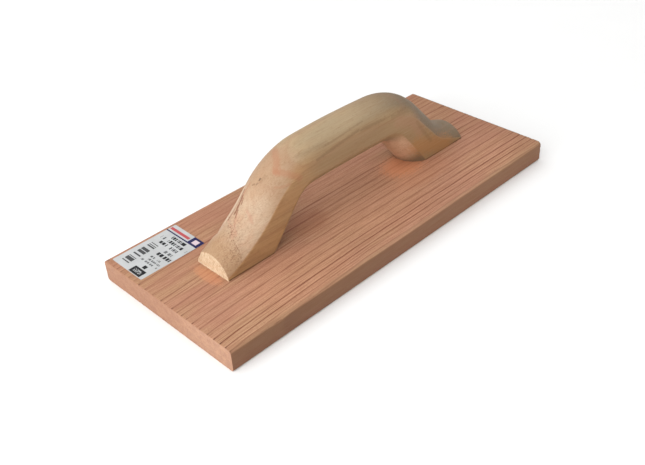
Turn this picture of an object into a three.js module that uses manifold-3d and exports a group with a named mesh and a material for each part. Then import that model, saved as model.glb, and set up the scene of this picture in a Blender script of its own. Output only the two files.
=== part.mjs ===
// A wooden hand float: a redwood blade, a pine handle and a paper label.
// The handle is held by four wood screws driven up through the blade.
//
// Millimetres, +Z up. X runs along the blade and Y from its near long side to its far one.
// The origin is the middle of the blade's underside, which is the working face.

import * as THREE from "three";
import { mergeVertices } from "three/addons/utils/BufferGeometryUtils.js";
import Module from "manifold-3d";

const wasm = await Module();
wasm.setup();

// ---------------------------------------------------------------- driving dimensions

const GAP = 0.3; // air kept between a screw and the wood around it
const CUT_PAST = 2; // how far a cutter runs past the face that it opens

const blade = {
  length: 304.8, // 12 inches
  width: 127, // 5 inches
  thickness: 15.875, // 5/8 inch
  topEase: 3, // radius of the long top arrises
  bottomEase: 2, // radius of the long bottom arrises
};

const label = {
  length: 50.8,
  width: 31.75,
  thickness: 0.2,
  cornerRadius: 0.8,
  fromEnd: 4.2, // from the blade's left end
  fromSide: 3.6, // from the blade's far side
};

const handle = {
  width: 31.75, // 1 1/4 inch stock
  centreX: 3.2,
  centreY: 1.3,
  toeReach: 115.8, // from the handle's middle to each toe
  gripTop: 63.2, // all heights in this group are above the blade
  gripUnder: 28.6,
  gripRadius: 450,
  soffitRadius: 20, // inside corners, between the grip and a leg
  innerSlope: 52, // degrees, the legs' inner faces
  gripRound: 15.6, // how deep the rounding is over the grip, nearly a half circle
  shoulderRound: 11.6, // shallower on the shoulders
  legRound: 9.8, // and shallowest where a leg's back meets its toe
  soffitRound: 10, // how deep it is under the grip and inside the legs
};

const leftLeg = {
  side: -1,
  gripFall: 2, // degrees that the grip's back falls away towards this leg
  slope: 45, // degrees, the leg's back
  shoulder: 56.8, // where the lines of the leg's back and the grip's back meet
  shoulderRadius: 61,
  toeHeight: 12.9,
  toeSlope: 25,
  toeRound: 12,
  flareRadius: 115, // the hollow between the leg's back and its toe
  heel: 65.6, // where the inner face meets the blade
};

const rightLeg = {
  side: 1,
  gripFall: 2.7,
  slope: 48,
  shoulder: 57.3,
  shoulderRadius: 57,
  toeHeight: 9.4,
  toeSlope: 20,
  toeRound: 10.6,
  flareRadius: 36,
  heel: 61.4,
};

const screw = {
  length: 31.75,
  headRadius: 4.2,
  headCone: 2.5,
  shankRadius: 2.1,
  shankLength: 11,
  threadPitch: 1.7,
  threadDepth: 0.6,
  tipLength: 3.5,
  recess: 1.6, // from the working face up to the head
  driveLength: 4.6,
  driveWidth: 1,
  driveDepth: 1.5,
};

const screwPlaces = [
  { name: "screw_left_toe", fromMiddle: -92, turned: 0.35 },
  { name: "screw_left_heel", fromMiddle: -74, turned: 1.1 },
  { name: "screw_right_heel", fromMiddle: 74, turned: 0.7 },
  { name: "screw_right_toe", fromMiddle: 92, turned: 0.1 },
];

// How finely round shapes are faceted.
const facets = { ease: 6, backArc: 14, soffitArc: 10, perSpan: 9, screw: 12, perPitch: 4, hole: 16 };

const radians = THREE.MathUtils.degToRad;

// ---------------------------------------------------------------- materials

const redwood = new THREE.MeshStandardMaterial({ color: 0xc48f74, roughness: 0.75, metalness: 0 });
const pine = new THREE.MeshStandardMaterial({ color: 0xcfae82, roughness: 0.6, metalness: 0 });
const paper = new THREE.MeshStandardMaterial({ color: 0xd9dadb, roughness: 0.5, metalness: 0 });
const zincPlate = new THREE.MeshStandardMaterial({ color: 0xb9b7ae, roughness: 0.35, metalness: 1 });

// ---------------------------------------------------------------- joining and cutting

/** A closed geometry as a solid that can be joined and cut. */
function toSolid(geometry) {
  const bare = geometry.clone();
  bare.deleteAttribute("normal");
  bare.deleteAttribute("uv");
  const merged = mergeVertices(bare);
  const vertProperties = new Float32Array(merged.attributes.position.array);
  const triVerts = new Uint32Array(merged.index.array);
  return new wasm.Manifold(new wasm.Mesh({ numProp: 3, vertProperties, triVerts }));
}

function toGeometry(solid) {
  const { vertProperties, triVerts } = solid.getMesh();
  const geometry = new THREE.BufferGeometry();
  geometry.setAttribute("position", new THREE.BufferAttribute(vertProperties, 3));
  geometry.setIndex(new THREE.BufferAttribute(triVerts, 1));
  geometry.computeVertexNormals();
  return geometry;
}

/** A solid turned about Z, from [radius, height] points that start and end on the axis. */
function turned(profile, segments) {
  const points = profile.map(([radius, height]) => new THREE.Vector2(radius, height));
  return new THREE.LatheGeometry(points, segments).rotateX(Math.PI / 2).rotateZ(Math.PI);
}

// ---------------------------------------------------------------- blade

/** The blade's end view, with its four long arrises eased. */
function bladeSection() {
  const side = blade.width / 2;
  const top = blade.thickness;
  const section = new THREE.Shape();
  const ease = (y, z, radius, from) => section.absarc(y, z, radius, from, from + Math.PI / 2);
  ease(side - blade.bottomEase, blade.bottomEase, blade.bottomEase, -Math.PI / 2);
  ease(side - blade.topEase, top - blade.topEase, blade.topEase, 0);
  ease(blade.topEase - side, top - blade.topEase, blade.topEase, Math.PI / 2);
  ease(blade.bottomEase - side, blade.bottomEase, blade.bottomEase, Math.PI);
  return section;
}

/** The hole for one screw: a counterbore, a countersink and a clearance hole. */
function screwHole() {
  const head = screw.headRadius + GAP;
  const shank = screw.shankRadius + GAP;
  const top = blade.thickness + CUT_PAST;
  const profile = [
    [0, -CUT_PAST],
    [head, -CUT_PAST],
    [head, screw.recess],
    [shank, screw.recess + screw.headCone],
    [shank, top],
    [0, top],
  ];
  return turned(profile, facets.hole);
}

function makeBlade() {
  const board = new THREE.ExtrudeGeometry(bladeSection(), {
    depth: blade.length,
    bevelEnabled: false,
    curveSegments: facets.ease,
  });
  const [alongX, alongY, alongZ] = [0, 1, 2].map((axis) => new THREE.Vector3().setComponent(axis, 1));
  board.applyMatrix4(new THREE.Matrix4().makeBasis(alongY, alongZ, alongX));
  board.translate(-blade.length / 2, 0, 0);
  const bored = screwPlaces.reduce((solid, place) => {
    const hole = screwHole().translate(handle.centreX + place.fromMiddle, handle.centreY, 0);
    return solid.subtract(toSolid(hole));
  }, toSolid(board));
  return toGeometry(bored);
}

// ---------------------------------------------------------------- handle

// The handle is drawn past its toes and heels, and its ends are then cut off.
const BEYOND_TOE = 17; // along the blade, past the toe
const BELOW_HEEL = 40; // along the inner face, below the heel
const OPPOSITE_FLARE = 9; // the same, to the point that faces the flare

/** A corner of a line in the handle's side view, x from its middle and height above the blade. */
const corner = (x, height, radius = 0) => ({ at: new THREE.Vector2(x, height), radius });

/** The point that lies a distance away from another, in a direction given in degrees. */
function step(from, degrees, distance) {
  const angle = radians(degrees);
  return new THREE.Vector2(from.x + distance * Math.cos(angle), from.y + distance * Math.sin(angle));
}

/** Where a line through a with slope slopeA meets a line through b with slope slopeB. */
function meet(a, slopeA, b, slopeB) {
  const x = (b.y - a.y + slopeA * a.x - slopeB * b.x) / (slopeA - slopeB);
  return new THREE.Vector2(x, a.y + slopeA * (x - a.x));
}

/** The corners of one leg's back, from the shoulder down to a point beyond the toe. */
function legBack(leg) {
  const fall = leg.shoulder * Math.tan(radians(leg.gripFall));
  const shoulder = new THREE.Vector2(leg.side * leg.shoulder, handle.gripTop - fall);
  const toe = new THREE.Vector2(leg.side * handle.toeReach, leg.toeHeight);
  const backSlope = -leg.side * Math.tan(radians(leg.slope));
  const toeSlope = -leg.side * Math.tan(radians(leg.toeSlope));
  const flare = meet(shoulder, backSlope, toe, toeSlope);
  const beyond = new THREE.Vector2(toe.x + leg.side * BEYOND_TOE, toe.y + toeSlope * leg.side * BEYOND_TOE);
  return [
    corner(shoulder.x, shoulder.y, leg.shoulderRadius),
    corner(flare.x, flare.y, leg.flareRadius),
    corner(beyond.x, beyond.y),
  ];
}

/** The matching corners of one leg's inner face, from the soffit down to below the blade. */
function legInside(leg) {
  const heel = new THREE.Vector2(leg.side * leg.heel, 0);
  const downwards = leg.side < 0 ? 180 + handle.innerSlope : -handle.innerSlope;
  const rise = handle.gripUnder / Math.sin(radians(handle.innerSlope));
  const soffit = step(heel, downwards, -rise);
  const opposite = step(heel, downwards, OPPOSITE_FLARE);
  const beyond = step(heel, downwards, BELOW_HEEL);
  return [
    corner(soffit.x, soffit.y, handle.soffitRadius),
    corner(opposite.x, opposite.y),
    corner(beyond.x, beyond.y),
  ];
}

/** How a line rounds a corner, by an arc that touches both of its straights. */
function bend(before, { at, radius }, after) {
  if (!before || !after || radius === 0) return { entry: at, middle: at };
  const back = before.at.clone().sub(at).normalize();
  const on = after.at.clone().sub(at).normalize();
  const halfAngle = Math.acos(back.dot(on)) / 2;
  const inwards = back.clone().add(on).normalize();
  const centre = at.clone().addScaledVector(inwards, radius / Math.sin(halfAngle));
  const reach = radius / Math.tan(halfAngle);
  const entry = at.clone().addScaledVector(back, reach);
  const exit = at.clone().addScaledVector(on, reach);
  const angles = [entry, at, exit].map((point) => Math.atan2(point.y - centre.y, point.x - centre.x));
  const middle = centre.clone().addScaledVector(inwards, -radius);
  return { entry, middle, centre, radius, angles, clockwise: back.cross(on) > 0 };
}

/** The half of a bend's arc that starts at its entry (half 0) or at its middle (half 1). */
function addHalfArc(path, { centre, radius, angles, clockwise }, half) {
  if (centre) path.absarc(centre.x, centre.y, radius, angles[half], angles[half + 1], clockwise);
}

/** Points along a line with rounded corners, with the same count from each corner to the next. */
function roundedLine(corners) {
  const bends = corners.map((item, i) => bend(corners[i - 1], item, corners[i + 1]));
  const points = [bends[0].middle];
  for (let i = 1; i < bends.length; i += 1) {
    const span = new THREE.Path().moveTo(bends[i - 1].middle.x, bends[i - 1].middle.y);
    addHalfArc(span, bends[i - 1], 1);
    span.lineTo(bends[i].entry.x, bends[i].entry.y);
    addHalfArc(span, bends[i], 0);
    points.push(...span.getSpacedPoints(facets.perSpan).slice(1));
  }
  return points;
}

/** An arc across the handle's width, bulging by depth: [distance across, drop from its top]. */
function roundOver(depth, segments) {
  const half = handle.width / 2;
  const radius = (half * half + depth * depth) / (2 * depth);
  const reach = Math.asin(half / radius);
  return Array.from({ length: segments + 1 }, (_, i) => {
    const angle = reach * ((2 * i) / segments - 1);
    return [radius * Math.sin(angle), radius - radius * Math.cos(angle)];
  });
}

/** One section of the handle: a rounded back, two flat sides and a rounded soffit. */
function section(back, soffit, backDepth) {
  const up = back.clone().sub(soffit).normalize();
  const place = (across, point) => new THREE.Vector3(point.x, across, point.y);
  const overBack = roundOver(backDepth, facets.backArc).map(([across, drop]) =>
    place(across, back.clone().addScaledVector(up, -drop)),
  );
  const overSoffit = roundOver(handle.soffitRound, facets.soffitArc).map(([across, drop]) =>
    place(-across, soffit.clone().addScaledVector(up, drop)),
  );
  return [...overBack, ...overSoffit];
}

/** A closed skin over a row of rings that all have the same number of points. */
function skin(rings) {
  const size = rings[0].length;
  const faces = [];
  for (let r = 0; r + 1 < rings.length; r += 1) {
    for (let i = 0; i < size; i += 1) {
      const [a, b] = [r * size + i, r * size + ((i + 1) % size)];
      faces.push(a, a + size, b, b, a + size, b + size);
    }
  }
  const last = (rings.length - 1) * size;
  for (let i = 1; i + 1 < size; i += 1) {
    faces.push(0, i, i + 1);
    faces.push(last, last + i + 1, last + i);
  }
  const geometry = new THREE.BufferGeometry().setFromPoints(rings.flat());
  geometry.setIndex(faces);
  return geometry;
}

/** The rounding's depth at each section, changing smoothly from corner to corner. */
function backDepths(count) {
  const { legRound, shoulderRound, gripRound } = handle;
  const leftToRight = [leftLeg.toeRound, legRound, shoulderRound, gripRound, shoulderRound, legRound];
  const knots = [...leftToRight, rightLeg.toeRound].map((depth, i) => new THREE.Vector2(i, depth));
  return new THREE.SplineCurve(knots).getPoints(count - 1).map((knot) => knot.y);
}

/** The handle before its toes and feet are cut, in its own frame. */
function shapedHandle() {
  const crown = corner(0, handle.gripTop, handle.gripRadius);
  const backLine = roundedLine([...legBack(leftLeg).reverse(), crown, ...legBack(rightLeg)]);
  const underGrip = corner(0, handle.gripUnder);
  const soffitLine = roundedLine([...legInside(leftLeg).reverse(), underGrip, ...legInside(rightLeg)]);
  const depths = backDepths(backLine.length);
  const rings = backLine.map((back, i) => section(back, soffitLine[i], depths[i]));
  return skin(rings);
}

/** The room that the finished handle may fill, between its toes and above the blade. */
function handleStock() {
  const height = 2 * handle.gripTop;
  const stock = new THREE.BoxGeometry(2 * handle.toeReach, 2 * handle.width, height);
  return stock.translate(0, 0, height / 2);
}

function pilotHole(fromMiddle) {
  const depth = screw.recess + screw.length + GAP - blade.thickness;
  const radius = screw.shankRadius + GAP;
  const hole = turned([[0, -CUT_PAST], [radius, -CUT_PAST], [radius, depth], [0, depth]], facets.hole);
  return hole.translate(fromMiddle, 0, 0);
}

function makeHandle() {
  const cut = toSolid(shapedHandle()).intersect(toSolid(handleStock()));
  const drilled = screwPlaces.reduce(
    (solid, place) => solid.subtract(toSolid(pilotHole(place.fromMiddle))),
    cut,
  );
  return toGeometry(drilled);
}

// ---------------------------------------------------------------- label

function makeLabel() {
  const [halfLength, halfWidth, r] = [label.length / 2, label.width / 2, label.cornerRadius];
  const outline = new THREE.Shape();
  outline.absarc(halfLength - r, halfWidth - r, r, 0, Math.PI / 2);
  outline.absarc(r - halfLength, halfWidth - r, r, Math.PI / 2, Math.PI);
  outline.absarc(r - halfLength, r - halfWidth, r, Math.PI, 1.5 * Math.PI);
  outline.absarc(halfLength - r, r - halfWidth, r, 1.5 * Math.PI, 2 * Math.PI);
  const settings = { depth: label.thickness, bevelEnabled: false, curveSegments: facets.ease };
  return new THREE.ExtrudeGeometry(outline, settings);
}

// ---------------------------------------------------------------- screws

/** Distance in from the thread's crest, as a share of its depth, at a turn and a height. */
function threadValley(turn, height) {
  const phase = THREE.MathUtils.euclideanModulo(height / screw.threadPitch - turn, 1);
  return 1 - Math.abs(2 * phase - 1);
}

/** A wood screw standing on its head, with its point up. */
function makeScrew() {
  const threadStart = screw.shankLength;
  const threadEnd = screw.length - screw.tipLength;
  const rows = Math.round(((threadEnd - threadStart) / screw.threadPitch) * facets.perPitch);
  const profile = [
    [0, 0],
    [screw.headRadius, 0],
    [screw.shankRadius, screw.headCone],
    [screw.shankRadius, threadStart],
  ];
  for (let row = 1; row <= rows; row += 1) {
    profile.push([screw.shankRadius, THREE.MathUtils.lerp(threadStart, threadEnd, row / rows)]);
  }
  profile.push([0, screw.length]);
  const body = turned(profile, facets.screw);
  cutThread(body, threadStart, threadEnd);
  return toGeometry(driveSlots().reduce((solid, slot) => solid.subtract(toSolid(slot)), toSolid(body)));
}

/** Draws the surface in between the thread's crests, deepest half a pitch from each crest. */
function cutThread(geometry, threadStart, threadEnd) {
  const position = geometry.attributes.position;
  for (let i = 0; i < position.count; i += 1) {
    const [x, y, z] = [position.getX(i), position.getY(i), position.getZ(i)];
    if (z <= threadStart || z > threadEnd) continue;
    const turn = Math.round((Math.atan2(y, x) / (2 * Math.PI)) * facets.screw) / facets.screw;
    const fade = THREE.MathUtils.clamp((z - threadStart) / screw.threadPitch, 0, 1);
    const scale = 1 - (screw.threadDepth / screw.shankRadius) * fade * threadValley(turn, z);
    position.setXY(i, x * scale, y * scale);
  }
}

/** The cross recess in the screw's head. */
function driveSlots() {
  const height = screw.driveDepth + CUT_PAST;
  const middle = screw.driveDepth - height / 2;
  return [0, Math.PI / 2].map((angle) => {
    const slot = new THREE.BoxGeometry(screw.driveLength, screw.driveWidth, height);
    return slot.rotateZ(angle).translate(0, 0, middle);
  });
}

// ---------------------------------------------------------------- assembly

function named(name, geometry, material) {
  const mesh = new THREE.Mesh(geometry, material);
  mesh.name = name;
  return mesh;
}

const group = new THREE.Group();

group.add(named("blade", makeBlade(), redwood));

const handleMesh = named("handle", makeHandle(), pine);
handleMesh.position.set(handle.centreX, handle.centreY, blade.thickness);
group.add(handleMesh);

const labelMesh = named("label", makeLabel(), paper);
labelMesh.position.set(
  -blade.length / 2 + label.fromEnd + label.length / 2,
  blade.width / 2 - label.fromSide - label.width / 2,
  blade.thickness,
);
group.add(labelMesh);

const screwGeometry = makeScrew();
for (const place of screwPlaces) {
  const screwMesh = named(place.name, screwGeometry, zincPlate);
  screwMesh.position.set(handle.centreX + place.fromMiddle, handle.centreY, screw.recess);
  screwMesh.rotation.z = place.turned;
  group.add(screwMesh);
}

export default group;
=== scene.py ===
"""The looks of a wooden hand float: a redwood blade, a pine handle, a paper label and four wood screws.

The frame is the CAD model's: X along the blade, Y from its near long side to its far one, Z up from its
working face. Blender works in metres. Every size in this file is in millimetres unless it says otherwise.
"""

import math
from types import SimpleNamespace as Named

import bmesh
import bpy
import numpy as np
from mathutils import Matrix, Vector, noise


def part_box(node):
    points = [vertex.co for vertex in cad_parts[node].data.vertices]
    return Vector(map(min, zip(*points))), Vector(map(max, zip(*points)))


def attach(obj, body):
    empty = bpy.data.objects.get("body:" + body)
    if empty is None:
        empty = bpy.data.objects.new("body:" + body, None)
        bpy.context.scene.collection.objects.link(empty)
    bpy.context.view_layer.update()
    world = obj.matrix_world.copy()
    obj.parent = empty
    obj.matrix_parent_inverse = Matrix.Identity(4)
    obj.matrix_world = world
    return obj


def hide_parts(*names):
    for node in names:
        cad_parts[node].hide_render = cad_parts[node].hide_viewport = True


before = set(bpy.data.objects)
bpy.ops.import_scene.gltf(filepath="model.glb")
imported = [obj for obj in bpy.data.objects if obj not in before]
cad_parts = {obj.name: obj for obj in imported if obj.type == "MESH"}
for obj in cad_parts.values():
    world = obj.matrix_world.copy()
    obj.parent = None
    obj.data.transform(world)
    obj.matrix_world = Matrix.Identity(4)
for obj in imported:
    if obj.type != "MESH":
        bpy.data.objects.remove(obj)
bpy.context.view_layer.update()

MM = 0.001
BODY = "root"


def node_box(node):
    """A CAD node's lowest and highest corners, in millimetres."""
    low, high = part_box(node)
    return np.array(low) / MM, np.array(high) / MM


# ---- sizes

BLADE_LOW, BLADE_HIGH = node_box("blade")
BLADE_TOP = BLADE_HIGH[2]
HANDLE_LOW, HANDLE_HIGH = node_box("handle")
HANDLE_MIDDLE = (HANDLE_LOW + HANDLE_HIGH) / 2
LABEL_LOW, LABEL_HIGH = node_box("label")

ARRIS = Named(far_top=2.5, near_top=2.8, bottom=2)  # radii of the blade's long arrises
END_SOFTNESS = 0.4  # radius of the arrises round the blade's ends

HANDLE = Named(
    width=31.75, toe_reach=115.8, grip_top=63.2, grip_under=28.6, grip_radius=450,
    soffit_radius=20, inner_slope=52, soffit_round=10,
)
LEFT_LEG = Named(
    side=-1, grip_fall=2, slope=45, shoulder=56.8, shoulder_radius=61,
    toe_height=12.9, toe_slope=25, flare_radius=115, heel=65.6,
)
RIGHT_LEG = Named(
    side=1, grip_fall=2.7, slope=48, shoulder=57.3, shoulder_radius=57,
    toe_height=9.4, toe_slope=20, flare_radius=36, heel=61.4,
)
ROUNDINGS = (12, 9.8, 11.6, 15.6, 11.6, 9.8, 10.6)  # of the back, from the left toe to the right one
BEYOND_TOE, BELOW_HEEL = 17, 40  # how far the lines of its side view run on before they are cut
OPPOSITE_FLARE = 9  # from a heel up to the corner that answers the flare of the leg's back
ARC_STEPS = 81  # points in the arc that rounds a corner of its side view
PER_SPAN = 36  # rings of the handle from one corner of its side view to the next
HANDLE_ARRIS = 0.5  # how far its long arrises are softened, to each side
TOE_SOFTNESS = 0.5
BACK_STEPS, SOFFIT_STEPS, SIDE_STEPS = 44, 30, 14  # round one section of the handle

SCREW = Named(
    length=31.75, head_radius=4.2, head_cone=2.5, shank_radius=2.1, shank_length=11,
    pitch=1.7, thread_depth=0.6, tip=3.5, recess=1.6, clearance=0.3,
)
RECESS = Named(mouth=(2.5, 0.55), floor=(1.1, 0.4), below=0.5, depths=(1.9, 1.85))  # the head's cross
SCREWS = {
    "screw_left_toe": 0.35,
    "screw_left_heel": 1.1,
    "screw_right_heel": 0.7,
    "screw_right_toe": 0.1,
}  # how far each is turned, in radians


# ---- node writing


def linear(*rgb):
    """A screen colour, 0 to 255 each, as Blender's linear colour."""
    channels = [c / 255 for c in rgb]
    return [c / 12.92 if c <= 0.04045 else ((c + 0.055) / 1.055) ** 2.4 for c in channels] + [1]


def colors(**table):
    """Named screen colours, as Blender's linear ones."""
    return Named(**{name: linear(*rgb) for name, rgb in table.items()})


class Look:
    """A material, with short ways to add its nodes."""

    def __init__(self, name):
        self.material = bpy.data.materials.new(name)
        self.material.use_nodes = True
        self.tree = self.material.node_tree
        self.tree.nodes.clear()
        self.place = self.vector("MULTIPLY", self.add("TexCoord").outputs["Object"], (1 / MM,) * 3)

    def add(self, kind, inputs=None, **settings):
        node = self.tree.nodes.new("ShaderNode" + kind)
        for key, value in settings.items():
            setattr(node, key, value)
        for key, value in (inputs or {}).items():
            self.feed(node.inputs[key], value)
        return node

    def feed(self, socket, value):
        if isinstance(value, bpy.types.NodeSocket):
            self.tree.links.new(value, socket)
        else:
            socket.default_value = value

    def math(self, operation, *values, clamp=False):
        return self.add("Math", dict(enumerate(values)), operation=operation, use_clamp=clamp).outputs[0]

    def times(self, *values, clamp=False):
        return self.math("MULTIPLY", *values, clamp=clamp)

    def minus(self, *values, clamp=False):
        return self.math("SUBTRACT", *values, clamp=clamp)

    def absolute(self, value):
        """A value without its sign."""
        return self.math("ABSOLUTE", value)

    def scaled(self, value, by, plus):
        """A value times a factor, plus another value."""
        return self.math("MULTIPLY_ADD", value, by, plus)

    def total(self, *values):
        """The sum of several values."""
        result = values[0]
        for value in values[1:]:
            result = self.math("ADD", result, value)
        return result

    def vector(self, operation, *values):
        return self.add("VectorMath", dict(enumerate(values)), operation=operation).outputs[0]

    def length(self, value):
        return self.add("VectorMath", {0: value}, operation="LENGTH").outputs["Value"]

    def split(self, value):
        node = self.add("SeparateXYZ", {0: value})
        return node.outputs[0], node.outputs[1], node.outputs[2]

    def join(self, x, y, z):
        return self.add("CombineXYZ", {0: x, 1: y, 2: z}).outputs[0]

    def noise(self, per_mm, detail=2, roughness=0.5, where=None):
        """Smooth noise about 0.5, with a factor per millimetre along each axis."""
        place = self.vector("MULTIPLY", where or self.place, per_mm)
        inputs = {"Vector": place, "Scale": 1, "Detail": detail, "Roughness": roughness}
        return self.add("TexNoise", inputs).outputs["Fac"]

    def waver(self, amount, per_mm, detail):
        """Smooth noise about 0."""
        return self.scaled(self.noise(per_mm, detail), amount, -amount / 2)

    def remap(self, value, low, high, to_low=0, to_high=1, kind="SMOOTHSTEP"):
        inputs = {"Value": value, "From Min": low, "From Max": high, "To Min": to_low, "To Max": to_high}
        return self.add("MapRange", inputs, interpolation_type=kind).outputs["Result"]

    def mix(self, share, first, second):
        """Two colours mixed."""
        return self.add("Mix", {0: share, 6: first, 7: second}, data_type="RGBA").outputs[2]

    def tint(self, color, other, value, low, high, most=1):
        """A colour mixed towards another, up to a share, as a value goes from low to high."""
        return self.mix(self.remap(value, low, high, 0, most), color, other)

    def tints(self, color, *rows):
        """A colour tinted by each row in turn: (other colour, value, low, high, up to what share)."""
        for row in rows:
            color = self.tint(color, *row)
        return color

    def spot(self, centre, radii, ragged=0):
        """1 inside a soft ellipsoid and 0 outside it, with an edge as ragged as asked."""
        apart = self.vector("SUBTRACT", self.place, centre)
        far = self.length(self.vector("DIVIDE", apart, radii))
        if ragged:
            rough = self.minus(self.noise((0.8, 0.8, 0.8), 3), 0.5)
            far = self.scaled(rough, ragged, far)
        return self.remap(far, 0.45, 1, 1, 0)

    def spots(self, color, rows, ragged):
        """A colour with soft spots: (centre, radii, strength, colour)."""
        for centre, radii, strength, tint in rows:
            color = self.mix(self.times(self.spot(centre, radii, ragged), strength), color, tint)
        return color

    def streak(self, start, end, radius, rough, ragged):
        """1 along a line between two points and 0 beyond a radius from it, with a ragged edge."""
        span = Vector(end) - Vector(start)
        apart = self.vector("SUBTRACT", self.place, start)
        dot = self.add("VectorMath", {0: apart, 1: tuple(span)}, operation="DOT_PRODUCT").outputs["Value"]
        share = self.math("DIVIDE", dot, span.length_squared, clamp=True)
        along = self.vector("MULTIPLY", self.join(share, share, share), tuple(span))
        beside = self.vector("SUBTRACT", apart, along)
        far = self.scaled(rough, ragged, self.math("DIVIDE", self.length(beside), radius))
        return self.remap(far, 0.2, 1, 1, 0)

    def bump(self, height, depth):
        """Bump from a height of 0 to 1 that stands for a depth in millimetres."""
        return self.add("Bump", {"Height": height, "Distance": depth * MM, "Strength": 1}).outputs[0]

    def finish(self, **inputs):
        shader = self.add("BsdfPrincipled")
        for key, value in inputs.items():
            self.feed(shader.inputs[key.replace("_", " ")], value)
        output = self.add("OutputMaterial")
        self.tree.links.new(shader.outputs[0], output.inputs[0])
        return self.material


# ---- redwood

# Dark growth lines across the blade, as seen at its middle: (place across, strength, how wide it is).
GROWTH_LINES = (
    (-61.6, 0.5, 0.8), (-59.9, 0.12, 0.4), (-57.7, 0.55, 0.7), (-55.9, 0.3, 0.5), (-53.8, 0.9, 0.8),
    (-51.3, 0.3, 0.5), (-49, 1, 0.8), (-46.6, 0.3, 0.5), (-43.3, 0.75, 0.9), (-40.3, 0.12, 0.5),
    (-37.3, 0.55, 0.9), (-34.6, 0.12, 0.6), (-30.4, 0.6, 1), (-27.6, 0.12, 0.5), (-23.1, 0.55, 0.9),
    (-19.9, 0.12, 0.5), (-17.5, 0.42, 0.8), (-12.9, 0.55, 0.9), (-10.3, 0.12, 0.5),
    (-8.6, 0.5, 0.9), (-3.2, 0.6, 1.2), (1, 0.12, 0.5), (4, 0.5, 0.8), (7.6, 0.7, 0.9),
    (11.6, 0.12, 0.6), (15.8, 0.35, 1.1), (19.7, 0.15, 0.6), (23.8, 0.4, 1.1), (30.4, 0.7, 1.1),
    (35.9, 0.3, 0.9), (41.2, 0.4, 1), (46.2, 0.3, 0.9), (50.2, 0.35, 0.9), (54.6, 0.4, 0.9),
    (58.4, 0.35, 0.8),
)
# They bend beyond these places along the blade, by this much per square millimetre.
LINES_BEND_LEFT_OF, LINES_BEND_LEFT = -20, 2.96e-4
LINES_BEND_RIGHT_OF, LINES_BEND_RIGHT = 40, 1.0e-4
# rose, warm, orange, ember and arris stand for painted light, painted bounce glow and painted shadow;
# shade is painted shade on the sides; the rest are the wood's own colours.
REDWOOD = colors(
    tan=(181, 140, 107), pink=(180, 131, 105), pale=(191, 150, 119), rose=(195, 145, 113),
    dark=(131, 84, 59), line=(112, 56, 36), notch=(84, 46, 32), end=(160, 122, 100),
    side=(132, 98, 72), shade=(100, 66, 44), arris=(172, 138, 106), orange=(206, 136, 96),
    ember=(218, 142, 98), warm=(150, 86, 58), pore=(120, 72, 52), end_dot=(140, 94, 74),
    end_line=(140, 88, 66), splinter=(96, 52, 38),
)

# Painted light and shadow on the top: the rose spots are painted light on its near half and under the
# grip, and the warm spot is the painted shadow behind the left leg: (centre, radii, strength, colour).
REDWOOD_PAINTED_LIGHT_AND_SHADOW = (
    ((14, -16, 15.9), (74, 54, 9), 0.75, REDWOOD.rose),
    ((-80, -42, 15.9), (56, 28, 9), 0.6, REDWOOD.rose),
    ((104, -44, 15.9), (50, 24, 9), 0.35, REDWOOD.rose),
    ((-38, -6, 15.9), (24, 16, 9), 0.4, REDWOOD.warm),
)


def growth_place(look):
    """How far across the board a point is, with the growth lines' bend and waver taken out."""
    x, y, z = look.split(look.place)
    left = look.math("MAXIMUM", look.minus(LINES_BEND_LEFT_OF, x), 0)
    right = look.math("MAXIMUM", look.minus(x, LINES_BEND_RIGHT_OF), 0)
    bend_left = look.times(look.times(left, left), LINES_BEND_LEFT)
    bend_right = look.times(look.times(right, right), LINES_BEND_RIGHT)
    slow = look.waver(1.6, (0.02, 0.03, 0.03), 1)
    quick = look.waver(0.6, (0.12, 0.35, 0.3), 2)
    depth = look.minus(z, BLADE_TOP)
    lean = look.times(depth, 0.1)
    curve = look.times(look.times(depth, depth), 0.006)
    return look.total(y, bend_left, bend_right, slow, quick, lean, curve)


def growth_lines(look, across):
    """1 on a dark growth line and 0 between them: each darkens slowly and then stops short."""
    lines = 0
    for centre, strength, width in GROWTH_LINES:
        apart = look.minus(across, centre)
        rise = look.math("POWER", look.remap(apart, -1.8 * width, 0.1 * width), 2.2)
        fall = look.remap(apart, 0.1 * width, 0.6 * width, strength, 0)
        lines = look.math("MAXIMUM", look.times(rise, fall), lines)
    return lines


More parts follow.
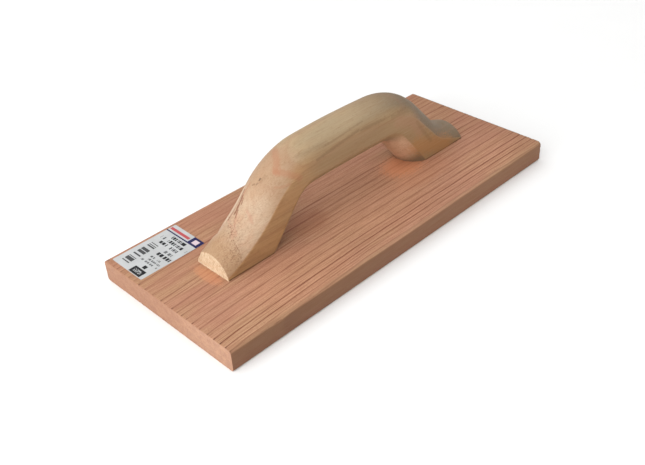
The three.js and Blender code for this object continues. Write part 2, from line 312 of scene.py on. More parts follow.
def redwood():
    look = Look("redwood_planed")
    x, y, z = look.split(look.place)
    lines = growth_lines(look, growth_place(look))
    streaks = look.noise((0.014, 0.8, 0.8), 3, 0.6)
    fibres = look.noise((0.05, 2, 2), 4, 0.7)
    pores = look.noise((0.35, 4.6, 4.6), 3, 0.65)
    speckle = look.noise((0.8, 1.5, 1.5), 3, 0.7)
    broad = look.noise((0.012, 0.05, 0.05), 2)
    patches = look.noise((0.03, 0.1, 0.1), 3, 0.65)

    color = look.tints(
        REDWOOD.tan,
        (REDWOOD.pink, broad, 0.38, 0.62),
        (REDWOOD.pale, patches, 0.45, 0.75, 0.35),
        (REDWOOD.dark, x, 110, 150, 0.25),
        (REDWOOD.dark, y, -30, 40, 0.14),
    )
    # Painted light on the near half of the top and under the grip, and a painted shadow behind the left
    # leg.
    color = look.spots(color, REDWOOD_PAINTED_LIGHT_AND_SHADOW, 0.4)
    color = look.tint(color, REDWOOD.dark, streaks, 0.45, 0.8, 0.4)
    color = look.tint(color, REDWOOD.dark, fibres, 0.35, 0.7, 0.5)
    color = look.mix(look.remap(fibres, 0.25, 0.45, 0.5, 0), color, REDWOOD.pale)
    color = look.tint(color, REDWOOD.dark, speckle, 0.5, 0.75, 0.5)
    broken = look.remap(look.noise((0.045, 0.8, 0.8), 3), 0.25, 0.6, 0.55, 1)
    stronger = look.remap(x, 60, 135, 1.05, 1.4)
    shown = look.times(look.times(lines, broken), stronger, clamp=True)
    color = look.mix(shown, color, REDWOOD.line)
    color = look.tint(color, REDWOOD.pore, pores, 0.58, 0.78, 0.45)
    by_end = look.remap(look.absolute(x), BLADE_HIGH[0] - 2.4, BLADE_HIGH[0] - 0.8)
    notch = look.times(by_end, look.remap(shown, 0.1, 0.6, 0, 0.7))
    color = look.mix(notch, color, REDWOOD.notch)
    far_edge = look.remap(x, BLADE_HIGH[0] - 1.2, BLADE_HIGH[0] - 0.2, 0, 0.5)
    color = look.mix(far_edge, color, REDWOOD.notch)
    color = redwood_side(look, color, x, y, z)
    color, end = redwood_end_grain(look, color, lines, x, y)
    # Painted glow of light bounced onto the top by the handle.
    color = look.spots(color, PAINTED_BOUNCE_GLOW, 0.9)
    color = look.spots(color, [(*splinter, 0.5, REDWOOD.splinter) for splinter in SPLINTERS], 0.6)

    rough = look.scaled(lines, -0.12, look.remap(fibres, 0.2, 0.8, 0.62, 0.82))
    grooves, sawn = look.times(pores, -0.35), look.times(saw_marks(look, y, end), 0.5)
    height = look.total(look.times(lines, 0.5), look.times(fibres, 0.6), grooves, sawn)
    bump = look.bump(height, 0.16)
    return look.finish(Base_Color=color, Roughness=rough, Normal=bump, Specular_IOR_Level=0.3)


def redwood_side(look, color, x, y, z):
    """The long sides: smoother, browner, darker low down, with painted shade that deepens to the left, and
    painted light and shade on the arrises over them.
    """
    side = look.remap(look.absolute(y), BLADE_HIGH[1] - 0.5, BLADE_HIGH[1] - 0.1)
    slow = look.noise((0.01, 0.3, 0.35), 3, 0.6)
    fine = look.noise((0.1, 1.4, 1.4), 3, 0.7)
    face = look.tints(
        REDWOOD.side,
        (REDWOOD.dark, slow, 0.35, 0.7, 0.5),
        (REDWOOD.dark, fine, 0.4, 0.7, 0.3),
        (REDWOOD.dark, z, 9, 2, 0.35),
        # painted shade, deepening towards the left end
        (REDWOOD.shade, x, 120, -150, 0.65),
    )
    color = look.mix(look.times(side, 0.85), color, face)
    # Painted light on the top arrises, lighter from the middle rightwards and the side's brown at the left
    # end.
    arris = look.remap(look.absolute(y), BLADE_HIGH[1] - 2.6, BLADE_HIGH[1] - 1.2)
    fibre_wear_and_arris_light = look.tint(REDWOOD.side, REDWOOD.arris, x, -130, -20)
    return look.mix(look.times(look.minus(arris, side, clamp=True), 0.35), color, fibre_wear_and_arris_light)


def redwood_end_grain(look, color, lines, x, y):
    """The sawn ends: paler and mottled, with faint upright lines. Also gives where the ends are."""
    end = look.remap(look.absolute(x), BLADE_HIGH[0] - 0.25, BLADE_HIGH[0] - 0.1)
    mottle = look.noise((0.3, 0.22, 0.35), 4, 0.7)
    dots = look.noise((0.5, 2.4, 1.3), 3, 0.7)
    dotted = (REDWOOD.end_dot, dots, 0.42, 0.75, 0.6)
    face = look.tints(REDWOOD.end, (REDWOOD.pale, mottle, 0.3, 0.7, 0.6), dotted)
    face = look.mix(look.times(lines, 0.22), face, REDWOOD.end_line)
    face = look.tint(face, REDWOOD.dark, y, -50, 10, 0.36)
    return look.mix(end, color, face), end


def saw_marks(look, y, end):
    """Fine upright scratches, left by a saw on the ends and the long sides only."""
    side = look.remap(look.absolute(y), BLADE_HIGH[1] - 0.4, BLADE_HIGH[1] - 0.1)
    along = look.noise((1.1, 0.2, 0.08), 3, 0.7)
    across = look.noise((0.2, 1.3, 0.1), 3, 0.7)
    on_sides = look.times(along, side)
    return look.total(on_sides, look.times(across, end))


# Painted glow of warm light bounced onto the top by the handle's left toe, right heel and right leg:
# (centre, radii, strength, colour).
PAINTED_BOUNCE_GLOW = (
    ((-117.5, 0, 15.9), (6, 17, 6), 0.4, REDWOOD.orange),
    ((60, -6, 15.9), (24, 17, 8), 0.55, REDWOOD.ember),
    ((62, -24, 15.9), (40, 14, 6), 0.15, REDWOOD.orange),
)
# Short dark splinter marks near the edges: (centre, radii).
SPLINTERS = (
    ((-150, -44, 15.8), (2.5, 0.3, 2)), ((-116, -62.6, 13.9), (5, 0.9, 0.7)),
    ((-95, 60.2, 15.8), (9, 0.4, 2)), ((-150.6, 61, 15.5), (1.2, 1.5, 1.6)),
    ((20, -60.6, 15.4), (12, 0.3, 1.6)), ((96, -61.4, 15), (16, 0.35, 1.4)),
)


# ---- pine

# The tree's growth rings run round a line along X: (across, height) of that line.
PINE_PITH = (10.3, 47.3)
PINE_RING = 4.4  # from one ring to the next
# grey is painted shade; side, side_pale, side_grip and side_right are partly painted warm bounce light;
# pink is a painted bounce glow; the rest are the wood's own colours.
PINE = colors(
    cream=(182, 157, 131), peach=(183, 148, 120), honey=(165, 134, 105), low=(166, 133, 101),
    tan=(171, 145, 111), olive=(160, 144, 115), grey=(121, 103, 80), side=(174, 130, 84),
    side_pale=(158, 124, 84), side_streak=(138, 96, 62), side_grip=(149, 118, 83),
    side_right=(159, 129, 92), rust=(150, 96, 64), pink=(197, 159, 129), light=(226, 204, 172),
    fibre=(132, 98, 64), end=(206, 184, 155), sanded=(216, 192, 164), pit=(108, 70, 46),
    end_tick=(156, 114, 78), end_ring=(180, 136, 96),
)
REDDISH = linear(162, 106, 76)
PINKISH = linear(174, 124, 100)
# DARK marks the knot and is also the painted contact shadow at the handle's foot.
DARK = linear(76, 50, 34)
OLIVE_BROWN = linear(120, 94, 62)
BROWN = linear(106, 76, 50)
RUSSET = linear(122, 70, 44)
AMBER_BOUNCE_GLOW = linear(178, 120, 66)
PINE_KNOT = (-70, 1.5, 61)  # where a small knot comes out of the left leg's back
FLAT_SIDE = HANDLE.width / 2 - 0.5  # further than this from its middle, the handle's side is flat


def pine_rings(look):
    """A point's distance from the heart of the tree, in rings, bent round the knot."""
    _, y, z = look.split(look.place)
    wander = look.waver(9, (0.012, 0.02, 0.02), 1)
    ripple = look.waver(2.4, (0.05, 0.16, 0.16), 2)
    dy = look.minus(y, PINE_PITH[0])
    dz = look.total(look.minus(z, PINE_PITH[1]), wander)
    out = look.length(look.join(0, dy, dz))
    from_knot = look.length(look.vector("SUBTRACT", look.place, PINE_KNOT))
    swirl = look.remap(from_knot, 0, 20, 7, 0)
    return look.math("DIVIDE", look.total(out, ripple, swirl), PINE_RING)


def pine_latewood(look, rings):
    """1 on the dark side of each ring and 0 elsewhere, stronger in some years than in others."""
    within = look.math("FRACT", rings)
    rise = look.remap(within, 0.35, 0.9)
    fall = look.remap(within, 0.9, 1, 1, 0)
    year = look.add("TexWhiteNoise", {"W": look.math("FLOOR", rings)}, noise_dimensions="1D").outputs[0]
    strength = look.remap(year, 0, 1, 0.3, 1, "LINEAR")
    return look.times(look.times(rise, fall), strength)


def pine():
    look = Look("pine_sanded")
    x, y, z = look.split(look.place)
    late = pine_latewood(look, pine_rings(look))
    fibres = look.noise((0.04, 1.2, 1.2), 4, 0.7)
    fleck = look.noise((0.22, 3, 3), 3, 0.65)
    color = pine_ground(look, x, y, z)
    color = look.mix(look.times(late, 0.16), color, PINE.rust)
    color = look.tint(color, PINE.fibre, fibres, 0.42, 0.8, 0.42)
    color = look.mix(look.remap(fibres, 0.2, 0.4, 0.2, 0), color, PINE.light)
    mottle = look.noise((0.35, 0.6, 0.6), 3, 0.7)
    mottled = (PINE.fibre, mottle, 0.5, 0.75, 0.3)
    color = look.tints(color, (PINE.fibre, fleck, 0.56, 0.78, 0.4), mottled)
    color = pine_figure(look, color)
    color = pine_end_grain(look, color, late, x)

    rough = look.scaled(late, -0.08, look.remap(fibres, 0.2, 0.8, 0.5, 0.68))
    height = look.total(look.times(late, 0.4), look.times(fibres, 0.7), look.times(fleck, -0.3))
    bump = look.bump(height, 0.11)
    return look.finish(Base_Color=color, Roughness=rough, Normal=bump, Specular_IOR_Level=0.35)


def pine_ground(look, x, y, z):
    """The ground colour: cream down the left leg, tan along the grip, greyed to the right by painted
    shade, and brown on the sides, partly painted bounce light.
    """
    broad = look.noise((0.016, 0.05, 0.05), 2)
    cloud = look.noise((0.05, 0.11, 0.11), 3, 0.6)
    leg = look.tint(PINE.cream, PINE.peach, cloud, 0.38, 0.75, 0.8)
    tan = look.tint(PINE.tan, PINE.olive, broad, 0.3, 0.7, 0.7)
    # Painted shade: the grip and right leg grey towards the right.
    grip = look.tint(tan, PINE.grey, x, 0, 70)
    ragged = look.scaled(cloud, 16, x)
    color = look.tint(leg, grip, ragged, -56, -30)
    low = look.remap(ragged, -84, -98)
    color = look.mix(low, color, PINE.low)
    upper = look.times(look.remap(ragged, -74, -58), look.remap(ragged, -44, -30, 1, 0))
    color = look.mix(look.times(upper, 0.9), color, PINE.honey)
    return pine_sides(look, color, x, y, z, broad)


def pine_sides(look, color, x, y, z, broad):
    """The flat sides are browner, partly from grain and partly from painted warm bounce light, with a
    crisp edge on the legs and a soft one along the grip; a painted pink bounce glow lies on the right
    leg's inner face and a painted contact shadow along the foot of each side.
    """
    aside = look.absolute(look.minus(y, HANDLE_MIDDLE[1]))
    crisp = look.remap(aside, FLAT_SIDE, FLAT_SIDE + 0.4)
    soft = look.remap(aside, FLAT_SIDE - 5, FLAT_SIDE + 0.4)
    from_grip = look.total(look.remap(x, -48, -62), look.remap(x, 58, 72))
    side = look.add("Mix", {0: from_grip, 2: soft, 3: crisp}, data_type="FLOAT").outputs[0]
    slow = look.noise((0.03, 0.3, 0.42), 3, 0.65)
    # Partly grain streaks, partly painted warm bounce light from the redwood.
    brown = look.tints(
        PINE.side,
        (PINE.side_pale, broad, 0.3, 0.7, 0.6),
        (PINE.side_streak, slow, 0.4, 0.68, 0.5),
        (PINE.side_grip, x, -55, -25),
        (PINE.side_right, x, 18, 48),
    )
    color = look.mix(look.times(side, 0.88), color, brown)
    # Painted pink glow of light bounced from the redwood onto the right leg's inner face.
    inner = look.spot((50, HANDLE_MIDDLE[1], 28), (22, 60, 26))
    color = look.mix(look.times(inner, look.minus(1, crisp)), color, PINE.pink)
    # Painted contact shadow along the foot of each flat side, just above the blade.
    contact_shadow = look.remap(z, BLADE_TOP + 0.3, BLADE_TOP + 1.4, 0.75, 0)
    return look.mix(look.times(contact_shadow, crisp), color, DARK)


# Marks on the handle, each along a line of points, the amber one being a painted glow of warm bounce light
# low on the right leg's near side: (points, radius, ragged edge, strength, colour).
PINE_MARKS = (
    (((-49.3, 6.5, 73), (-54.5, -1.8, 71.3), (-59.7, -6, 66.7)), 3.8, 1.1, 0.45, REDDISH),
    (((-59.7, -6, 66.7), (-54.7, -11.4, 65), (-47.8, -14.5, 60)), 3.4, 1.1, 0.45, REDDISH),
    (((-65.1, -10.1, 59.3), (-60.8, -12.7, 58.9), (-56, -14, 59.3)), 1.4, 0.8, 0.3, REDDISH),
    (((-82.9, -2.4, 47.5), (-84.1, -6.9, 44.4), (-84.9, -8.5, 42.5)), 1.6, 0.9, 0.4, PINKISH),
    (((-86.5, 3.7, 44.8), (-92.2, 0.2, 40.6), (-95.7, -4.6, 37)), 1.6, 0.9, 0.4, PINKISH),
    (((-90.7, 8.3, 39.9), (-93.9, 0.7, 39.3), (-97.8, -3.9, 35.9)), 1.4, 0.9, 0.4, PINKISH),
    (((-67.5, 0.5, 62.9), (-68.3, 0.5, 62.1)), 1, 0.7, 0.7, DARK),
    (((-70, 0.4, 60.6), (-70.9, 1, 59.8)), 0.9, 0.7, 0.4, DARK),
    (((-71, 2.6, 59.6), (-71.8, 3.8, 58.9)), 0.9, 0.7, 0.5, BROWN),
    (((-65, -2, 64), (-69, -1, 61.5)), 2, 1.2, 0.2, BROWN),
    (((-73, 12.8, 53.5), (-92, 11.5, 38.5)), 2.6, 0.6, 0.6, PINE.sanded),
    (((-70.9, 7, 58.6), (-74.4, 7.5, 54.9), (-77.3, 7.9, 51.7)), 0.9, 0.7, 0.7, REDDISH),
    (((-77.3, 7.9, 51.7), (-82.1, 6.8, 47.7), (-86.4, 5.7, 44.4)), 1.6, 1.2, 0.9, RUSSET),
    (((-74, 9.6, 54), (-82, 9.2, 47.4), (-90.6, 8.3, 40)), 1.1, 0.9, 0.85, RUSSET),
    (((-78.4, 6, 51.4), (-81.5, 4.6, 49)), 0.9, 0.9, 0.7, RUSSET),
    (((-84.6, 4.6, 46), (-88.4, 3.2, 43.2)), 0.9, 0.9, 0.7, RUSSET),
    (((-44, -9, 72), (-20, -11.5, 72.5)), 2.4, 1, 0.2, BROWN),
    (((-32, -14.6, 66), (8, -13.2, 70)), 1.6, 1, 0.35, BROWN),
    (((-24, -12.6, 71), (14, -10.8, 73.2)), 1.1, 1, 0.28, BROWN),
    # Painted glow of warm light bounced from the redwood onto the right leg's near side.
    (((66, -14.5, 32), (84, -14.5, 26), (100, -14.5, 20)), 11, 1.8, 0.45, AMBER_BOUNCE_GLOW),
    (((46, -14.5, 60), (60, -14.5, 56), (70, -14.5, 44)), 7, 1.4, 0.28, PINKISH),
    (((40, -14, 66.5), (58, -14, 64)), 2.4, 1.2, 0.3, OLIVE_BROWN),
    (((66, -14.5, 52), (74, -14.5, 40), (82, -14.5, 30)), 2.2, 1.3, 0.3, OLIVE_BROWN),
    (((10, -13.4, 69), (62, -12, 66)), 1.6, 1, 0.3, BROWN),
)

# Fields of small pits down the left leg: (from, to, radius, pits per millimetre, strength).
PINE_PITS = (
    ((-93, 2, 39.5), (-101.5, -12, 27.8), 7, 0.7, 0.7),
    ((-90, 4, 41), (-106, -8, 26), 15, 0.95, 0.4),
    ((-66, -8, 60), (-80, -6, 48), 9, 0.95, 0.22),
)


def pine_figure(look, color):
    """The figure round the knot, the torn grain, long streaks, a line of pits down the left leg, and a
    painted glow of bounce light on the right leg.
    """
    rough = look.minus(look.noise((0.7, 0.9, 0.9), 3), 0.5)
    for points, radius, ragged, strength, tint in PINE_MARKS:
        mark = 0
        for start, end in zip(points, points[1:]):
            mark = look.math("MAXIMUM", look.streak(start, end, radius, rough, ragged), mark)
        color = look.mix(look.times(mark, strength), color, tint)
    for start, end, radius, per_mm, strength in PINE_PITS:
        pits = look.noise((per_mm, per_mm, per_mm), 4, 0.75)
        share = look.times(look.remap(pits, 0.5, 0.62), look.streak(start, end, radius, rough, 1.2))
        color = look.mix(look.times(share, strength), color, PINE.pit)
    return color


def pine_end_grain(look, color, late, x):
    """The sawn toes: pale, with short slanting flecks where the rings cross them."""
    toe = look.absolute(look.minus(x, HANDLE_MIDDLE[0]))
    end = look.remap(toe, HANDLE.toe_reach - 0.3, HANDLE.toe_reach - 0.05)
    turn = {"Vector": look.place, "Center": (0, 0, 0), "Axis": (1, 0, 0), "Angle": 0.6}
    slanted = look.add("VectorRotate", turn).outputs[0]
    ticks = look.noise((0.6, 2.4, 0.5), 3, 0.6, where=slanted)
    face = look.tint(PINE.end, PINE.end_tick, ticks, 0.46, 0.64, 0.75)
    face = look.mix(look.times(late, 0.25), face, PINE.end_ring)
    return look.mix(end, color, face)


# ---- paper

PAPER = colors(
    white=(188, 190, 191), grey=(172, 174, 174), fibre=(150, 150, 146), patch=(206, 188, 196),
)
INK = linear(14, 14, 18)
NAVY = linear(17, 15, 72)
RED = linear(176, 74, 78)


def inside(look, u, v, box):
    """1 inside a box of the label, given as shares of its length and width, and 0 outside."""
    u_low, u_high, v_low, v_high = box
    along = look.times(look.math("GREATER_THAN", u, u_low), look.math("LESS_THAN", u, u_high))
    over = look.times(look.math("GREATER_THAN", v, v_low), look.math("LESS_THAN", v, v_high))
    return look.times(along, over)


def chances(look, share, per_side, seed):
    """A random number from 0 to 1 for each of the equal steps along a side of the label."""
    step = look.math("FLOOR", look.scaled(share, per_side, seed))
    return look.add("TexWhiteNoise", {"W": step}, noise_dimensions="1D").outputs[0]


def bars(look, u, box, per_length, seed):
    """Upright bars of uneven width inside a box."""
    return look.times(look.math("GREATER_THAN", chances(look, u, per_length, seed), 0.38), box)


def strokes(look, v, box, per_width, seed):
    """A row of plain upright strokes in uneven groups, which runs across the label."""
    groups = look.math("GREATER_THAN", chances(look, v, per_width / 4, seed), 0.14)
    each = look.math("GREATER_THAN", chances(look, v, per_width * 1.6, seed), 0.24)
    return look.times(look.times(groups, each), box)


# Rows of strokes: (box, strokes per width, seed, strength).
PRINT_ROWS = (
    ((0.245, 0.275, 0.42, 0.95), 44, 3, 0.75), ((0.30, 0.33, 0.52, 0.93), 44, 7, 0.8),
    ((0.355, 0.385, 0.50, 0.90), 44, 11, 0.85), ((0.435, 0.492, 0.45, 0.95), 30, 17, 1),
    ((0.52, 0.567, 0.60, 0.84), 26, 23, 0.75), ((0.612, 0.662, 0.24, 0.82), 34, 29, 1),
    ((0.692, 0.745, 0.12, 0.95), 34, 31, 1), ((0.772, 0.825, 0.32, 0.76), 34, 37, 1),
    ((0.15, 0.208, 0.68, 0.78), 30, 41, 1), ((0.08, 0.58, 0.075, 0.095), 1, 0.9, 0.5),
)
# Blocks over them: (box, colour), where None stands for the speckled fill.
PRINT_BLOCKS = (
    ((0.01, 0.13, 0.54, 0.90), INK), ((0.042, 0.098, 0.60, 0.84), None), ((0.85, 0.872, 0, 1), NAVY),
    ((0.90, 0.945, 0.02, 0.64), RED), ((0.85, 1, 0.68, 1), NAVY),
    ((0.885, 0.965, 0.77, 0.92), PAPER.patch),
)


def paper():
    look = Look("printed_paper")
    x, y, _ = look.split(look.place)
    size = LABEL_HIGH - LABEL_LOW
    u = look.math("DIVIDE", look.minus(x, LABEL_LOW[0]), size[0])
    v = look.math("DIVIDE", look.minus(LABEL_HIGH[1], y), size[1])
    fibre = look.noise((1.5, 1.5, 1.5), 4, 0.7)
    cloud = look.noise((0.1, 0.1, 0.1), 2)
    fibre_wear_and_arris_light = (PAPER.fibre, fibre, 0.3, 0.75, 0.2)
    color = look.tints(PAPER.white, (PAPER.grey, cloud, 0.3, 0.7, 0.6), fibre_wear_and_arris_light)
    code = bars(look, u, inside(look, u, v, (0.09, 0.56, 0.13, 0.36)), 84, 2)
    color = look.mix(look.times(code, 0.9), color, INK)
    for box, per_width, seed, strength in PRINT_ROWS:
        marks = strokes(look, v, inside(look, u, v, box), per_width, seed)
        color = look.mix(look.times(marks, strength), color, INK)
    speckle = look.noise((1.4, 1.4, 1.4), 2, 0.6)
    speckled = look.tint(PAPER.white, INK, speckle, 0.42, 0.5)
    for box, fill in PRINT_BLOCKS:
        color = look.mix(inside(look, u, v, box), color, fill or speckled)
    height = look.scaled(cloud, 0.6, look.times(fibre, 0.25))
    rough, bump = look.remap(fibre, 0.2, 0.8, 0.46, 0.6), look.bump(height, 0.05)
    return look.finish(Base_Color=color, Roughness=rough, Normal=bump, Specular_IOR_Level=0.25)


# ---- zinc plate

ZINC = colors(bright=(206, 204, 198), warm=(190, 182, 164), dull=(120, 114, 100))


def zinc_plate():
    look = Look("zinc_plated_steel")
    haze = look.noise((0.5, 0.5, 0.5), 3, 0.6)
    fine = look.noise((4, 4, 4), 3, 0.7)
    color = look.tints(ZINC.bright, (ZINC.warm, haze, 0.3, 0.7), (ZINC.dull, fine, 0.6, 0.8, 0.4))
    rough = look.remap(haze, 0.2, 0.8, 0.26, 0.44)
    return look.finish(Base_Color=color, Metallic=1, Roughness=rough, Normal=look.bump(fine, 0.02))


# ---- mesh helpers


def link(name, data):
    """A new object in the scene."""
    thing = bpy.data.objects.new(name, data)
    bpy.context.scene.collection.objects.link(thing)
    return thing


def shape(name, points, faces, sharp=30):
    """A new object with a closed mesh, from points in millimetres."""
    mesh = bpy.data.meshes.new(name)
    mesh.from_pydata((np.asarray(points, float) * MM).tolist(), [], faces)
    smooth(mesh, sharp)
    return link(name, mesh)


def stand_for(piece, node):
    """The piece rides on the body, and is seen instead of a CAD node."""
    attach(piece, BODY)
    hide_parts(node)


def make_piece(name, points, faces, material, sharp=30):
    """A shape with a material on it."""
    piece = shape(name, points, faces, sharp)
    piece.data.materials.append(material)
    return piece


def smooth(mesh, sharp):
    """Outward faces, shaded smooth apart from creases sharper than an angle in degrees."""
    work = bmesh.new()
    work.from_mesh(mesh)
    bmesh.ops.recalc_face_normals(work, faces=work.faces)
    work.to_mesh(mesh)
    work.free()
    mesh.shade_smooth()
    mesh.set_sharp_from_angle(angle=math.radians(sharp))


def tube_faces(rings, size):
    """The faces of a skin over rings that all have the same number of points, with both ends closed."""
    faces = []
    for ring in range(rings - 1):
        for i in range(size):
            a, b = ring * size + i, ring * size + (i + 1) % size
            faces.append((a, b, b + size, a + size))
    return [*faces, tuple(reversed(range(size))), tuple(range((rings - 1) * size, rings * size))]


def carve(piece, cutter):
    """Cuts a closed shape away from a piece, and removes the cutter."""
    modifier = piece.modifiers.new("carve", "BOOLEAN")
    modifier.operation = "DIFFERENCE"
    modifier.solver = "EXACT"
    modifier.object = cutter
    evaluated = piece.evaluated_get(bpy.context.evaluated_depsgraph_get())
    mesh = bpy.data.meshes.new_from_object(evaluated)
    piece.modifiers.clear()
    old, piece.data = piece.data, mesh
    mesh.name = old.name.split(".")[0]
    bpy.data.meshes.remove(old)
    bpy.data.objects.remove(cutter)


def lathe(profile, segments=48):
    """The points and faces of a shape turned about Z from (radius, height) points, closed at both ends."""
    angles = np.arange(segments) * 2 * math.pi / segments
    points = [(r * math.cos(a), r * math.sin(a), h) for r, h in profile for a in angles]
    return np.array(points), tube_faces(len(profile), segments)


def cutter(name, profiles):
    """One object made of turned shapes, each at its own place: ((x, y, z), profile)."""
    vertices, faces = [], []
    for place, profile in profiles:
        points, its_faces = lathe(profile)
        faces += [tuple(i + len(vertices) for i in face) for face in its_faces]
        vertices += (points + place).tolist()
    return shape(name, vertices, faces)


def wobble(*place):
    """Smooth noise from -1 to 1, the same in every run."""
    return noise.noise(Vector(place))


# ---- blade

TOP_POINTS, BOTTOM_POINTS, SIDE_POINTS, ARC_POINTS = 260, 60, 8, 9  # of one ring of the blade
MIDDLE_RINGS = 92
NEAR_END = (0, 0.06, 0.15, 0.28, 0.45, 0.8, 1.4, 2.4, 4)  # rings this far from each end


def quarter(centre, radius, start):
    """Points and outward directions along a quarter circle."""
    angles = np.radians(start + np.linspace(0, 90, ARC_POINTS))
    out = np.stack([np.cos(angles), np.sin(angles)], 1)
    return np.array(centre) + radius * out, out


def straight(start, end, count, out):
    """Points between two others, leaving out the two themselves, and their outward direction."""
    share = np.linspace(0, 1, count + 2)[1:-1, None]
    return np.array(start) * (1 - share) + np.array(end) * share, np.tile(out, (count, 1))


def blade_arrises(x):
    """The radii of the two top arrises at a place along the blade: they were eased by hand."""
    splinter = 1.1 * math.exp(-(((x + 116) / 5) ** 2))
    near = ARRIS.near_top + 0.5 * wobble(x / 38, 1.5, 0) + 0.15 * wobble(x / 9, 2.5, 0) + splinter
    far = ARRIS.far_top + 0.4 * wobble(x / 45, 7.5, 0)
    return near, far


def blade_ring(x, inset):
    """The blade's end view at one place, drawn in by one inset or by one for each point."""
    side, top, base = BLADE_HIGH[1], BLADE_TOP, ARRIS.bottom
    near, far = blade_arrises(x)
    parts = [
        straight((base - side, 0), (side - base, 0), BOTTOM_POINTS, (0, -1)),
        quarter((side - base, base), base, -90),
        straight((side, base), (side, top - far), SIDE_POINTS, (1, 0)),
        quarter((side - far, top - far), far, 0),
        straight((side - far, top), (near - side, top), TOP_POINTS, (0, 1)),
        quarter((near - side, top - near), near, 90),
        straight((-side, top - near), (-side, base), SIDE_POINTS, (-1, 0)),
        quarter((base - side, base), base, 180),
    ]
    points = np.concatenate([p for p, _ in parts])
    out = np.concatenate([o for _, o in parts])
    return points - out * np.reshape(inset, (-1, 1))


def end_inset(from_end, radius):
    """How far a surface falls back from its full size near a softened end."""
    left = min(max(radius - from_end, 0), radius)
    return radius - math.sqrt(radius * radius - left * left)


def end_chips(points, from_end, end):
    """Small notches along an end's arris, which fade within about a millimetre of it."""
    fade = max(0, 1 - from_end / 1.3)
    if fade == 0:
        return np.zeros(len(points))
    rough = np.array([wobble(y * 0.75, z * 0.75, 11.3 * end) for y, z in points])
    return 0.5 * fade * np.clip(rough - 0.12, 0, 1)


def make_blade(material):
    length = BLADE_HIGH[0] - BLADE_LOW[0]
    middle = np.linspace(NEAR_END[-1], length - NEAR_END[-1], MIDDLE_RINGS)[1:-1]
    distances = [*NEAR_END, *middle, *(length - d for d in reversed(NEAR_END))]
    vertices = []
    for distance in distances:
        x = BLADE_LOW[0] + distance
        end, from_end = (-1, distance) if distance < length / 2 else (1, length - distance)
        chips = end_chips(blade_ring(x, 0), from_end, end)
        ring = blade_ring(x, end_inset(from_end, END_SOFTNESS) + chips)
        vertices += [(x, y, z) for y, z in ring]
    size = len(vertices) // len(distances)
    piece = make_piece("redwood_blade", vertices, tube_faces(len(distances), size), material)
    stand_for(piece, "blade")
    carve(piece, cutter("screw_holes", [(screw_place(name), hole_profile()) for name in SCREWS]))
    smooth(piece.data, 30)


# ---- handle


def unit(vector):
    return vector / np.linalg.norm(vector)


def corner(x, height, radius=0):
    return np.array([x, height], float), radius


def step(start, degrees, distance):
    angle = math.radians(degrees)
    return start + distance * np.array([math.cos(angle), math.sin(angle)])


def tan(degrees):
    return math.tan(math.radians(degrees))


def leg_back(leg):
    """The corners of one leg's back in side view, from the shoulder to a point beyond the toe."""
    side = leg.side
    shoulder = (side * leg.shoulder, HANDLE.grip_top - leg.shoulder * tan(leg.grip_fall))
    toe = (side * HANDLE.toe_reach, leg.toe_height)
    back_slope, toe_slope = -side * tan(leg.slope), -side * tan(leg.toe_slope)
    x = (toe[1] - shoulder[1] + back_slope * shoulder[0] - toe_slope * toe[0]) / (back_slope - toe_slope)
    flare = (x, shoulder[1] + back_slope * (x - shoulder[0]))
    beyond = (toe[0] + side * BEYOND_TOE, toe[1] + toe_slope * side * BEYOND_TOE)
    return [
        corner(*shoulder, leg.shoulder_radius),
        corner(*flare, leg.flare_radius),
        corner(*beyond),
    ]


def leg_inside(leg):
    """The matching corners of one leg's inner face, from the soffit down to below the blade's top."""
    side, slope = leg.side, HANDLE.inner_slope
    heel = np.array([side * leg.heel, 0])
    downwards = 180 + slope if side < 0 else -slope
    soffit = step(heel, downwards, -HANDLE.grip_under / math.sin(math.radians(slope)))
    return [
        corner(*soffit, HANDLE.soffit_radius),
        corner(*step(heel, downwards, OPPOSITE_FLARE)),
        corner(*step(heel, downwards, BELOW_HEEL)),
    ]


def bend_arc(before, at, after, radius):
    """The points of the arc that rounds a corner, from entry to exit."""
    back, on = unit(before - at), unit(after - at)
    half = math.acos(float(back @ on)) / 2
    inwards = unit(back + on)
    centre = at + inwards * radius / math.sin(half)
    sweep = math.pi / 2 - half
    aside = unit(back - inwards * float(back @ inwards))
    angles = np.linspace(-sweep, sweep, ARC_STEPS)
    return np.array([centre + radius * (-inwards * math.cos(a) - aside * math.sin(a)) for a in angles])


def rounded_line(corners):
    """Points along a line with rounded corners, with the same count from each corner to the next."""
    arcs = []
    for i, (at, radius) in enumerate(corners):
        if radius and 0 < i < len(corners) - 1:
            arcs.append(bend_arc(corners[i - 1][0], at, corners[i + 1][0], radius))
        else:
            arcs.append(np.array([at]))
    points = [arcs[0][len(arcs[0]) // 2]]
    for first, second in zip(arcs, arcs[1:]):
        path = np.concatenate([first[len(first) // 2 :], second[: len(second) // 2 + 1]])
        points += list(spaced(path, PER_SPAN)[1:])
    return np.array(points)


def spaced(path, count):
    """A path's points at even distances along it."""
    run = np.concatenate([[0], np.cumsum(np.linalg.norm(np.diff(path, axis=0), axis=1))])
    at = np.linspace(0, run[-1], count + 1)
    return np.stack([np.interp(at, run, path[:, axis]) for axis in range(path.shape[1])], 1)


def spline(knots, count):
    """Values on a smooth curve through evenly spaced knots."""
    values = []
    for t in np.linspace(0, len(knots) - 1, count):
        i = min(int(t), len(knots) - 2)
        f = t - i
        a, b, c, d = (knots[min(max(i + k, 0), len(knots) - 1)] for k in (-1, 0, 1, 2))
        u, v = (c - a) / 2, (d - b) / 2
        values.append((2 * b - 2 * c + u + v) * f**3 + (3 * c - 3 * b - 2 * u - v) * f**2 + u * f + b)
    return values


